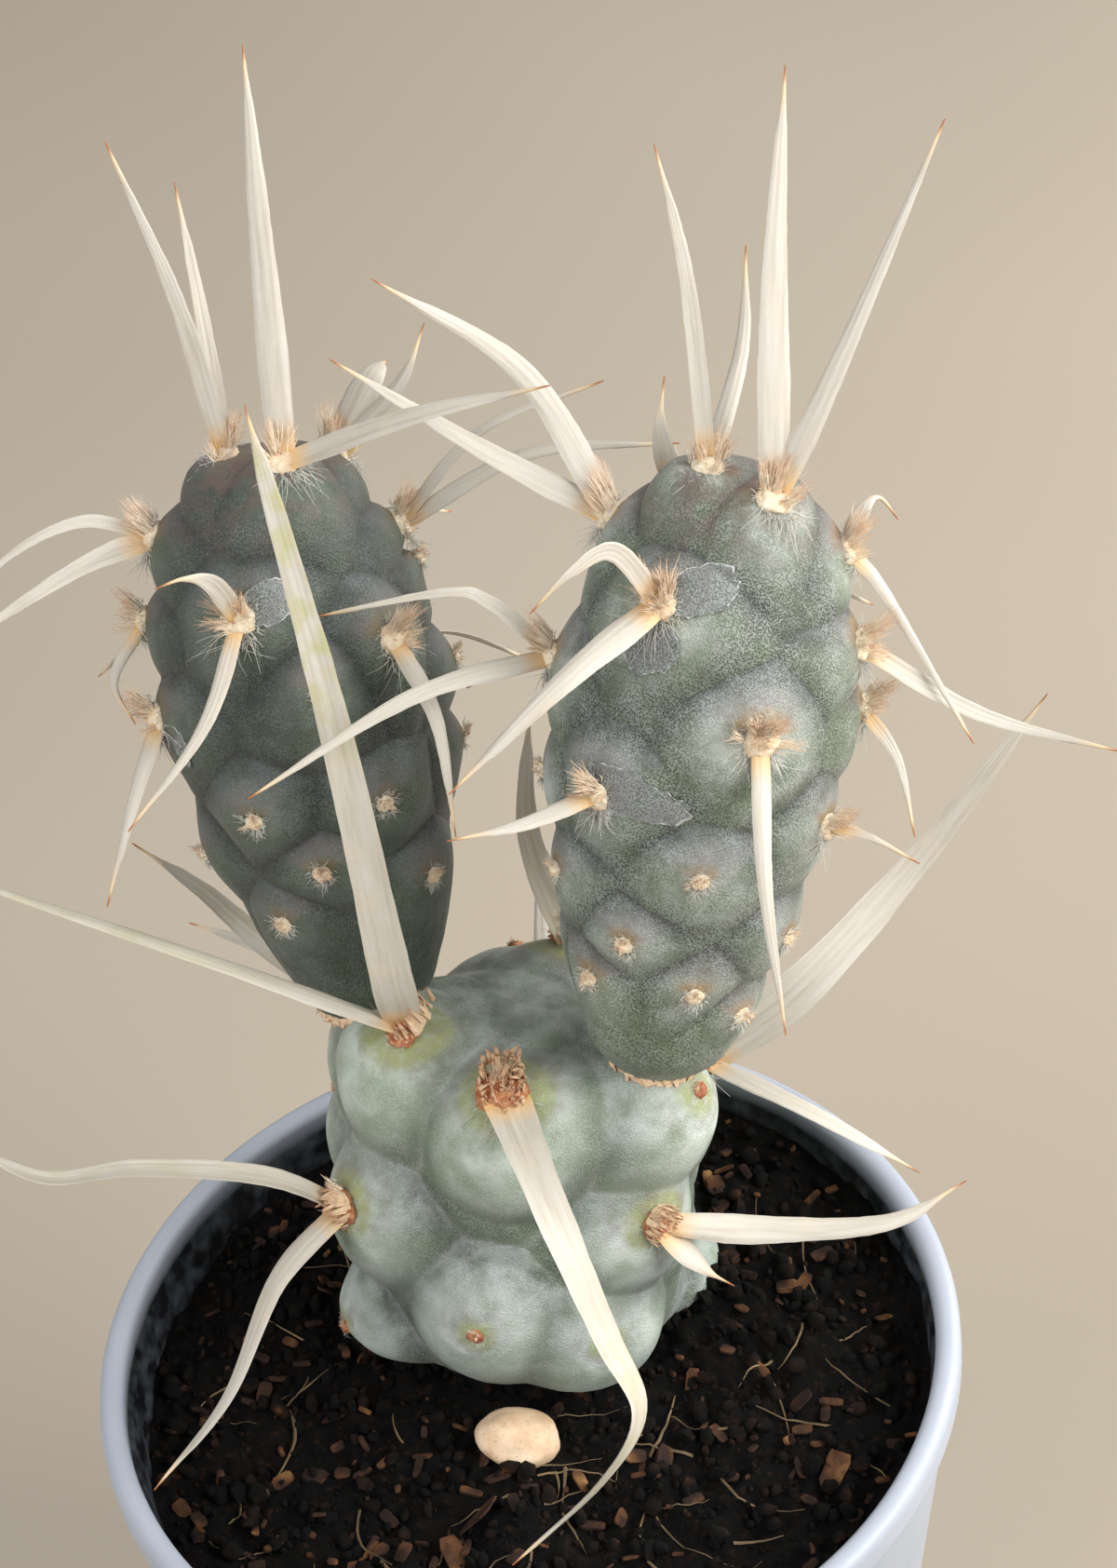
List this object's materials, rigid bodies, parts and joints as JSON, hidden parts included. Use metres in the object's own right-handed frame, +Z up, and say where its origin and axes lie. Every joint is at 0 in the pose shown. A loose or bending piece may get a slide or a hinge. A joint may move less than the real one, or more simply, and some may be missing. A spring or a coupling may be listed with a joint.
{
  "type": "potted pine cone cactus",
  "caption": "Paper spine pine cone cactus of stacked oval segments with flat ribbon spines, rooted in dark soil in a round tapered plastic pot.",
  "frame": {"origin": "centre of the pot's flat foot, on the surface that the pot stands on", "axes": "+Z up through the pot's middle, -Y towards the side of the plant that the picture shows, +X to that side's right"},
  "size_m": [0.0995, 0.1011, 0.1717],
  "materials": {
    "pot_plastic": "pale blue grey moulded plastic, satin, darker inside",
    "peat_soil": "dark damp peat with bark chips and fibres, wood standing in for it",
    "tan_stone": "smooth beige pebble, matt",
    "old_flesh": "pale grey green plant flesh with a mealy bloom, rubber standing in for it",
    "dark_flesh": "dark green plant flesh, satin, rubber standing in for it",
    "young_flesh": "dark grey green plant flesh with a waxy bloom, rubber standing in for it",
    "papery_spine": "cream white papery blades, straw at the root, with a brown needle tip"
  },
  "bodies": {
    "root": {"base_segment": "old_flesh", "base_spines_01": "papery_spine", "base_spines_02": "papery_spine", "base_spines_03": "papery_spine", "base_spines_04": "papery_spine", "base_spines_05": "papery_spine", "base_spines_06": "papery_spine", "base_spines_07": "papery_spine", "base_spines_08": "papery_spine", "base_spines_09": "papery_spine", "left_segment": "dark_flesh", "left_spines_01": "papery_spine", "left_spines_02": "papery_spine", "left_spines_03": "papery_spine", "left_spines_04": "papery_spine", "left_spines_05": "papery_spine", "left_spines_06": "papery_spine", "left_spines_07": "papery_spine", "left_spines_08": "papery_spine", "left_spines_09": "papery_spine", "left_spines_10": "papery_spine", "left_spines_11": "papery_spine", "left_spines_12": "papery_spine", "left_spines_13": "papery_spine", "pebble": "tan_stone", "pot": "pot_plastic", "right_segment": "young_flesh", "right_spines_01": "papery_spine", "right_spines_02": "papery_spine", "right_spines_03": "papery_spine", "right_spines_04": "papery_spine", "right_spines_05": "papery_spine", "right_spines_06": "papery_spine", "right_spines_07": "papery_spine", "right_spines_08": "papery_spine", "right_spines_09": "papery_spine", "right_spines_10": "papery_spine", "right_spines_11": "papery_spine", "right_spines_12": "papery_spine", "right_spines_13": "papery_spine", "right_spines_14": "papery_spine", "right_spines_15": "papery_spine", "right_spines_16": "papery_spine", "soil": "peat_soil"}
  },
  "joints": []
}
